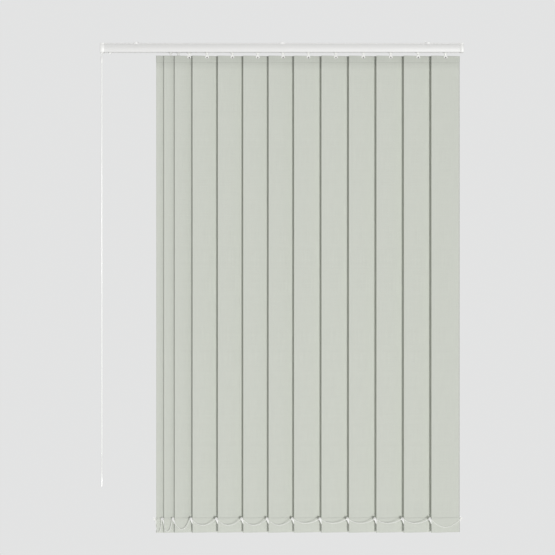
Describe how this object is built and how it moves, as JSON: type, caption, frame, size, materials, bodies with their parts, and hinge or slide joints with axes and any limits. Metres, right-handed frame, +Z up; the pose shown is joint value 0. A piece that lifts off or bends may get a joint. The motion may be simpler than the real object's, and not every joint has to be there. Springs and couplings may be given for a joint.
{
  "type": "vertical blind",
  "caption": "Vertical blind: slotted headrail on ceiling clips, cloth slats on turning hooks, bottom weights tied by bead chains, and a slim wand that tilts the slats.",
  "frame": {"origin": "middle of the ceiling line, on the centre bracket's top face, above the line of hook stems", "axes": "+X along the headrail towards the fixed end, -Y towards the room, +Z up"},
  "size_m": [1.046, 0.0476, 1.4115],
  "materials": {
    "rail_white": "satin white coat on extruded aluminium",
    "cap_white": "moulded white",
    "bracket_steel": "white coat on spring steel",
    "rod_alloy": "drawn",
    "gear_plastic": "moulded",
    "wand_plastic": "smooth",
    "carrier_plastic": "moulded",
    "slat_cloth": "stiffened woven cloth",
    "chain_plastic": "small beads"
  },
  "bodies": {
    "root": {"headrail": "rail_white", "control_end_cap": "cap_white", "far_end_cap": "cap_white", "mounting_brackets": "bracket_steel", "rail_stop": "cap_white", "carrier_13": "carrier_plastic"},
    "rod": {"tilt_rod": "rod_alloy", "rod_gear": "gear_plastic"},
    "wand_stem": {"wand_stem": "cap_white"},
    "wand": {"wand_hook": "cap_white", "wand": "wand_plastic"},
    "carrier_01": {"carrier_01": "carrier_plastic"},
    "worm_01": {"worm_01": "gear_plastic"},
    "slat_01": {"slat_01": "slat_cloth"},
    "carrier_02": {"carrier_02": "carrier_plastic"},
    "worm_02": {"worm_02": "gear_plastic"},
    "slat_02": {"slat_02": "slat_cloth"},
    "carrier_03": {"carrier_03": "carrier_plastic"},
    "worm_03": {"worm_03": "gear_plastic"},
    "slat_03": {"slat_03": "slat_cloth"},
    "carrier_04": {"carrier_04": "carrier_plastic"},
    "worm_04": {"worm_04": "gear_plastic"},
    "slat_04": {"slat_04": "slat_cloth"},
    "carrier_05": {"carrier_05": "carrier_plastic"},
    "worm_05": {"worm_05": "gear_plastic"},
    "slat_05": {"slat_05": "slat_cloth"},
    "carrier_06": {"carrier_06": "carrier_plastic"},
    "worm_06": {"worm_06": "gear_plastic"},
    "slat_06": {"slat_06": "slat_cloth"},
    "carrier_07": {"carrier_07": "carrier_plastic"},
    "worm_07": {"worm_07": "gear_plastic"},
    "slat_07": {"slat_07": "slat_cloth"},
    "carrier_08": {"carrier_08": "carrier_plastic"},
    "worm_08": {"worm_08": "gear_plastic"},
    "slat_08": {"slat_08": "slat_cloth"},
    "carrier_09": {"carrier_09": "carrier_plastic"},
    "worm_09": {"worm_09": "gear_plastic"},
    "slat_09": {"slat_09": "slat_cloth"},
    "carrier_10": {"carrier_10": "carrier_plastic"},
    "worm_10": {"worm_10": "gear_plastic"},
    "slat_10": {"slat_10": "slat_cloth"},
    "carrier_11": {"carrier_11": "carrier_plastic"},
    "worm_11": {"worm_11": "gear_plastic"},
    "slat_11": {"slat_11": "slat_cloth"},
    "carrier_12": {"carrier_12": "carrier_plastic"},
    "worm_12": {"worm_12": "gear_plastic"},
    "slat_12": {"slat_12": "slat_cloth"},
    "worm_13": {"worm_13": "gear_plastic"},
    "slat_13": {"slat_13": "slat_cloth", "chain_end_loop": "chain_plastic"},
    "front_chain": {"front_chain": "chain_plastic"},
    "front_chain_03": {"front_chain_03": "chain_plastic"},
    "front_chain_02": {"front_chain_02": "chain_plastic"},
    "front_chain_01": {"front_chain_01": "chain_plastic"},
    "back_chain": {"back_chain": "chain_plastic"},
    "back_chain_03": {"back_chain_03": "chain_plastic"},
    "back_chain_02": {"back_chain_02": "chain_plastic"},
    "back_chain_01": {"back_chain_01": "chain_plastic"}
  },
  "joints": [
    {"name": "draw", "type": "slide", "parent": "root", "child": "carrier_04", "axis": [1, 0, 0], "range_m": [0, 0.507], "deforming": ["front_chain", "back_chain", "chain_end_loop"]},
    {"name": "draw_05", "type": "slide", "parent": "root", "child": "carrier_05", "axis": [1, 0, 0], "range_m": [-0.0005, 0.4545]},
    {"name": "draw_06", "type": "slide", "parent": "root", "child": "carrier_06", "axis": [1, 0, 0], "range_m": [-0.0005, 0.4015]},
    {"name": "draw_07", "type": "slide", "parent": "root", "child": "carrier_07", "axis": [1, 0, 0], "range_m": [-0.0005, 0.3485]},
    {"name": "draw_08", "type": "slide", "parent": "root", "child": "carrier_08", "axis": [1, 0, 0], "range_m": [-0.0005, 0.2955]},
    {"name": "draw_09", "type": "slide", "parent": "root", "child": "carrier_09", "axis": [1, 0, 0], "range_m": [-0.0005, 0.2365]},
    {"name": "draw_10", "type": "slide", "parent": "root", "child": "carrier_10", "axis": [1, 0, 0], "range_m": [-0.0005, 0.1775]},
    {"name": "draw_11", "type": "slide", "parent": "root", "child": "carrier_11", "axis": [1, 0, 0], "range_m": [-0.0005, 0.1185]},
    {"name": "draw_12", "type": "slide", "parent": "root", "child": "carrier_12", "axis": [1, 0, 0], "range_m": [-0.0005, 0.0595]},
    {"name": "lead_gap_3", "type": "slide", "parent": "carrier_04", "child": "carrier_03", "axis": [1, 0, 0], "range_m": [-0.0275, 0.0315], "deforming": ["front_chain_03", "back_chain_03"]},
    {"name": "lead_gap_2", "type": "slide", "parent": "carrier_03", "child": "carrier_02", "axis": [1, 0, 0], "range_m": [-0.0485, 0.0105], "deforming": ["front_chain_02", "back_chain_02"]},
    {"name": "lead_gap_1", "type": "slide", "parent": "carrier_02", "child": "carrier_01", "axis": [1, 0, 0], "range_m": [-0.057, 0.002], "deforming": ["front_chain_01", "back_chain_01"]},
    {"name": "tilt", "type": "hinge", "parent": "root", "child": "slat_13", "pos_m": [0.4712, 0, 0], "axis": [0, 0, 1], "range_deg": [-10, 146]},
    {"name": "tilt_12", "type": "hinge", "parent": "carrier_12", "child": "slat_12", "pos_m": [0.3922, 0, 0], "axis": [0, 0, 1], "range_deg": [-10.5, 146.5]},
    {"name": "tilt_11", "type": "hinge", "parent": "carrier_11", "child": "slat_11", "pos_m": [0.3132, 0, 0], "axis": [0, 0, 1], "range_deg": [-10.5, 146.5]},
    {"name": "tilt_10", "type": "hinge", "parent": "carrier_10", "child": "slat_10", "pos_m": [0.2342, 0, 0], "axis": [0, 0, 1], "range_deg": [-10.5, 146.5]},
    {"name": "tilt_09", "type": "hinge", "parent": "carrier_09", "child": "slat_09", "pos_m": [0.1552, 0, 0], "axis": [0, 0, 1], "range_deg": [-10.5, 146.5]},
    {"name": "tilt_08", "type": "hinge", "parent": "carrier_08", "child": "slat_08", "pos_m": [0.0762, 0, 0], "axis": [0, 0, 1], "range_deg": [-10.5, 146.5]},
    {"name": "tilt_07", "type": "hinge", "parent": "carrier_07", "child": "slat_07", "pos_m": [0.0032, 0, 0], "axis": [0, 0, 1], "range_deg": [-10.5, 146.5]},
    {"name": "tilt_06", "type": "hinge", "parent": "carrier_06", "child": "slat_06", "pos_m": [-0.0698, 0, 0], "axis": [0, 0, 1], "range_deg": [-10.5, 146.5]},
    {"name": "tilt_05", "type": "hinge", "parent": "carrier_05", "child": "slat_05", "pos_m": [-0.1428, 0, 0], "axis": [0, 0, 1], "range_deg": [-10.5, 146.5]},
    {"name": "tilt_04", "type": "hinge", "parent": "carrier_04", "child": "slat_04", "pos_m": [-0.2158, 0, 0], "axis": [0, 0, 1], "range_deg": [-10.5, 146.5]},
    {"name": "tilt_03", "type": "hinge", "parent": "carrier_03", "child": "slat_03", "pos_m": [-0.2673, 0, 0], "axis": [0, 0, 1], "range_deg": [-10.5, 146.5]},
    {"name": "tilt_02", "type": "hinge", "parent": "carrier_02", "child": "slat_02", "pos_m": [-0.2978, 0, 0], "axis": [0, 0, 1], "range_deg": [-10.5, 146.5]},
    {"name": "tilt_01", "type": "hinge", "parent": "carrier_01", "child": "slat_01", "pos_m": [-0.3198, 0, 0], "axis": [0, 0, 1], "range_deg": [-10.5, 146.5]},
    {"name": "worm_spin_01", "type": "hinge", "parent": "carrier_01", "child": "worm_01", "pos_m": [-0.3198, -0.008, -0.015], "axis": [1, 0, 0], "range_deg": [-71, 1023]},
    {"name": "worm_spin_02", "type": "hinge", "parent": "carrier_02", "child": "worm_02", "pos_m": [-0.2978, -0.008, -0.015], "axis": [1, 0, 0], "range_deg": [-71, 1023]},
    {"name": "worm_spin_03", "type": "hinge", "parent": "carrier_03", "child": "worm_03", "pos_m": [-0.2673, -0.008, -0.015], "axis": [1, 0, 0], "range_deg": [-71, 1023]},
    {"name": "worm_spin_04", "type": "hinge", "parent": "carrier_04", "child": "worm_04", "pos_m": [-0.2158, -0.008, -0.015], "axis": [1, 0, 0], "range_deg": [-71, 1023]},
    {"name": "worm_spin_05", "type": "hinge", "parent": "carrier_05", "child": "worm_05", "pos_m": [-0.1428, -0.008, -0.015], "axis": [1, 0, 0], "range_deg": [-71, 1023]},
    {"name": "worm_spin_06", "type": "hinge", "parent": "carrier_06", "child": "worm_06", "pos_m": [-0.0698, -0.008, -0.015], "axis": [1, 0, 0], "range_deg": [-71, 1023]},
    {"name": "worm_spin_07", "type": "hinge", "parent": "carrier_07", "child": "worm_07", "pos_m": [0.0032, -0.008, -0.015], "axis": [1, 0, 0], "range_deg": [-71, 1023]},
    {"name": "worm_spin_08", "type": "hinge", "parent": "carrier_08", "child": "worm_08", "pos_m": [0.0762, -0.008, -0.015], "axis": [1, 0, 0], "range_deg": [-71, 1023]},
    {"name": "worm_spin_09", "type": "hinge", "parent": "carrier_09", "child": "worm_09", "pos_m": [0.1552, -0.008, -0.015], "axis": [1, 0, 0], "range_deg": [-71, 1023]},
    {"name": "worm_spin_10", "type": "hinge", "parent": "carrier_10", "child": "worm_10", "pos_m": [0.2342, -0.008, -0.015], "axis": [1, 0, 0], "range_deg": [-71, 1023]},
    {"name": "worm_spin_11", "type": "hinge", "parent": "carrier_11", "child": "worm_11", "pos_m": [0.3132, -0.008, -0.015], "axis": [1, 0, 0], "range_deg": [-71, 1023]},
    {"name": "worm_spin_12", "type": "hinge", "parent": "carrier_12", "child": "worm_12", "pos_m": [0.3922, -0.008, -0.015], "axis": [1, 0, 0], "range_deg": [-71, 1023]},
    {"name": "worm_spin_13", "type": "hinge", "parent": "root", "child": "worm_13", "pos_m": [0.4712, -0.008, -0.015], "axis": [1, 0, 0], "range_deg": [-71, 1023]},
    {"name": "rod_spin", "type": "hinge", "parent": "root", "child": "rod", "pos_m": [0, -0.008, -0.015], "axis": [1, 0, 0], "range_deg": [-71, 1023]},
    {"name": "wand_twist", "type": "hinge", "parent": "root", "child": "wand_stem", "pos_m": [-0.5175, -0.0155, -0.0375], "axis": [0, 0, 1], "range_deg": [-71, 1023]},
    {"name": "wand_swing", "type": "hinge", "parent": "wand_stem", "child": "wand", "pos_m": [-0.5175, -0.0155, -0.0375], "axis": [1, 0, 0], "range_deg": [-60, 0]},
    {"name": "front_chain_turn", "type": "hinge", "parent": "slat_04", "child": "front_chain", "pos_m": [-0.2617, -0.01854, 0], "axis": [0, 0, 1], "range_deg": [-147, 11]},
    {"name": "front_chain_gap_3", "type": "slide", "parent": "front_chain", "child": "front_chain_03", "axis": [1, 0, 0], "range_m": [-0.028, 0.032]},
    {"name": "front_chain_gap_2", "type": "slide", "parent": "front_chain_03", "child": "front_chain_02", "axis": [1, 0, 0], "range_m": [-0.049, 0.011]},
    {"name": "front_chain_gap_1", "type": "slide", "parent": "front_chain_02", "child": "front_chain_01", "axis": [1, 0, 0], "range_m": [-0.0575, 0.0025]},
    {"name": "back_chain_turn", "type": "hinge", "parent": "slat_04", "child": "back_chain", "pos_m": [-0.1699, 0.01854, 0], "axis": [0, 0, 1], "range_deg": [-147, 11]},
    {"name": "back_chain_gap_3", "type": "slide", "parent": "back_chain", "child": "back_chain_03", "axis": [1, 0, 0], "range_m": [-0.028, 0.032]},
    {"name": "back_chain_gap_2", "type": "slide", "parent": "back_chain_03", "child": "back_chain_02", "axis": [1, 0, 0], "range_m": [-0.049, 0.011]},
    {"name": "back_chain_gap_1", "type": "slide", "parent": "back_chain_02", "child": "back_chain_01", "axis": [1, 0, 0], "range_m": [-0.0575, 0.0025]}
  ],
  "couplings": [
    {"joint": "draw_05", "follows": "draw", "ratio": 0.89546},
    {"joint": "draw_06", "follows": "draw", "ratio": 0.79093},
    {"joint": "draw_07", "follows": "draw", "ratio": 0.68639},
    {"joint": "draw_08", "follows": "draw", "ratio": 0.58185},
    {"joint": "draw_09", "follows": "draw", "ratio": 0.46548},
    {"joint": "draw_10", "follows": "draw", "ratio": 0.34911},
    {"joint": "draw_11", "follows": "draw", "ratio": 0.23274},
    {"joint": "draw_12", "follows": "draw", "ratio": 0.11637},
    {"joint": "tilt_12", "follows": "tilt", "ratio": 1},
    {"joint": "tilt_11", "follows": "tilt", "ratio": 1},
    {"joint": "tilt_10", "follows": "tilt", "ratio": 1},
    {"joint": "tilt_09", "follows": "tilt", "ratio": 1},
    {"joint": "tilt_08", "follows": "tilt", "ratio": 1},
    {"joint": "tilt_07", "follows": "tilt", "ratio": 1},
    {"joint": "tilt_06", "follows": "tilt", "ratio": 1},
    {"joint": "tilt_05", "follows": "tilt", "ratio": 1},
    {"joint": "tilt_04", "follows": "tilt", "ratio": 1},
    {"joint": "tilt_03", "follows": "tilt", "ratio": 1},
    {"joint": "tilt_02", "follows": "tilt", "ratio": 1},
    {"joint": "tilt_01", "follows": "tilt", "ratio": 1},
    {"joint": "worm_spin_01", "follows": "tilt", "ratio": 7},
    {"joint": "worm_spin_02", "follows": "tilt", "ratio": 7},
    {"joint": "worm_spin_03", "follows": "tilt", "ratio": 7},
    {"joint": "worm_spin_04", "follows": "tilt", "ratio": 7},
    {"joint": "worm_spin_05", "follows": "tilt", "ratio": 7},
    {"joint": "worm_spin_06", "follows": "tilt", "ratio": 7},
    {"joint": "worm_spin_07", "follows": "tilt", "ratio": 7},
    {"joint": "worm_spin_08", "follows": "tilt", "ratio": 7},
    {"joint": "worm_spin_09", "follows": "tilt", "ratio": 7},
    {"joint": "worm_spin_10", "follows": "tilt", "ratio": 7},
    {"joint": "worm_spin_11", "follows": "tilt", "ratio": 7},
    {"joint": "worm_spin_12", "follows": "tilt", "ratio": 7},
    {"joint": "worm_spin_13", "follows": "tilt", "ratio": 7},
    {"joint": "rod_spin", "follows": "tilt", "ratio": 7},
    {"joint": "wand_twist", "follows": "tilt", "ratio": 7},
    {"joint": "front_chain_turn", "follows": "tilt", "ratio": -1},
    {"joint": "front_chain_gap_3", "follows": "lead_gap_3", "ratio": 1},
    {"joint": "front_chain_gap_2", "follows": "lead_gap_2", "ratio": 1},
    {"joint": "front_chain_gap_1", "follows": "lead_gap_1", "ratio": 1},
    {"joint": "back_chain_turn", "follows": "tilt", "ratio": -1},
    {"joint": "back_chain_gap_3", "follows": "lead_gap_3", "ratio": 1},
    {"joint": "back_chain_gap_2", "follows": "lead_gap_2", "ratio": 1},
    {"joint": "back_chain_gap_1", "follows": "lead_gap_1", "ratio": 1}
  ]
}
